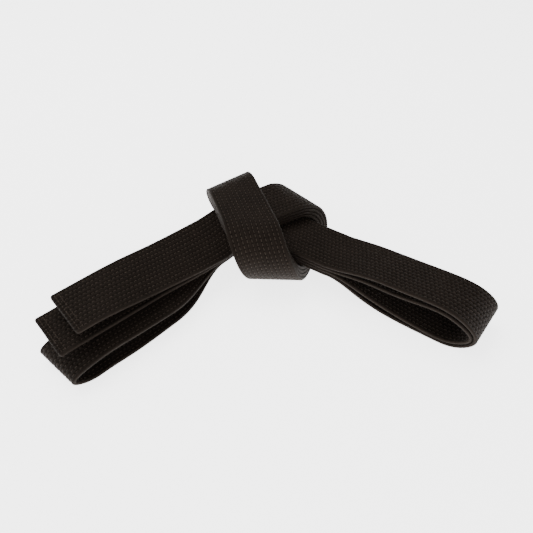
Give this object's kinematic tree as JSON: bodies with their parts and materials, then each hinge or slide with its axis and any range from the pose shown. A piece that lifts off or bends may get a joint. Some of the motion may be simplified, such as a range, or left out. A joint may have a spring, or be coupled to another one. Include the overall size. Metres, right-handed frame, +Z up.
{
  "type": "martial arts belt",
  "caption": "Quilted black cotton martial arts belt, folded four plies thick and tied in one overhand knot, with loops and two cut ends at its sides.",
  "frame": {"origin": "centre of the tied belt's box on the surface it lies on", "axes": "+X along the tied bundle from the cut ends to the nested loops, +Y away from the viewer, +Z up"},
  "size_m": [0.337, 0.187, 0.0588],
  "materials": {
    "cover_cloth": "satin",
    "core_cotton": "matt",
    "end_thread": "satin"
  },
  "bodies": {
    "knot": {"knot_ply_1_core_layer_1": "core_cotton", "knot_ply_1_core_layer_2": "core_cotton", "knot_ply_1_cover": "cover_cloth", "knot_ply_2_core_layer_1": "core_cotton", "knot_ply_2_core_layer_2": "core_cotton", "knot_ply_2_cover": "cover_cloth", "knot_ply_3_core_layer_1": "core_cotton", "knot_ply_3_core_layer_2": "core_cotton", "knot_ply_3_cover": "cover_cloth", "knot_ply_4_core_layer_1": "core_cotton", "knot_ply_4_core_layer_2": "core_cotton", "knot_ply_4_cover": "cover_cloth"},
    "left_loop": {"left_loop_core_layer_1": "core_cotton", "left_loop_core_layer_2": "core_cotton", "left_loop_cover": "cover_cloth"},
    "tail_b": {"tail_b_core_layer_1": "core_cotton", "tail_b_core_layer_2": "core_cotton", "tail_b_cover": "cover_cloth", "tail_b_end_stitching": "end_thread"},
    "tail_a": {"tail_a_core_layer_1": "core_cotton", "tail_a_core_layer_2": "core_cotton", "tail_a_cover": "cover_cloth", "tail_a_end_stitching": "end_thread"},
    "right_loops": {"inner_right_loop_core_layer_1": "core_cotton", "inner_right_loop_core_layer_2": "core_cotton", "inner_right_loop_cover": "cover_cloth", "outer_right_loop_core_layer_1": "core_cotton", "outer_right_loop_core_layer_2": "core_cotton", "outer_right_loop_cover": "cover_cloth"}
  },
  "joints": [
    {"name": "left_arm_lift", "type": "hinge", "parent": "knot", "child": "left_loop", "pos_m": [-0.04833, 0.02573, 0.03214], "axis": [-0.6212, 0.6681, 0.4095], "range_deg": [0, 45]},
    {"name": "tail_b_lift", "type": "hinge", "parent": "left_loop", "child": "tail_b", "pos_m": [-0.04833, 0.02573, 0.03214], "axis": [-0.6212, 0.6681, 0.4095], "range_deg": [0, 14]},
    {"name": "tail_a_lift", "type": "hinge", "parent": "tail_b", "child": "tail_a", "pos_m": [-0.04833, 0.02573, 0.03214], "axis": [-0.6212, 0.6681, 0.4095], "range_deg": [0, 14]},
    {"name": "right_arm_lift", "type": "hinge", "parent": "knot", "child": "right_loops", "pos_m": [0.05074, 0.01243, 0.03266], "axis": [-0.5422, -0.84, -0.0212], "range_deg": [0, 45]}
  ]
}
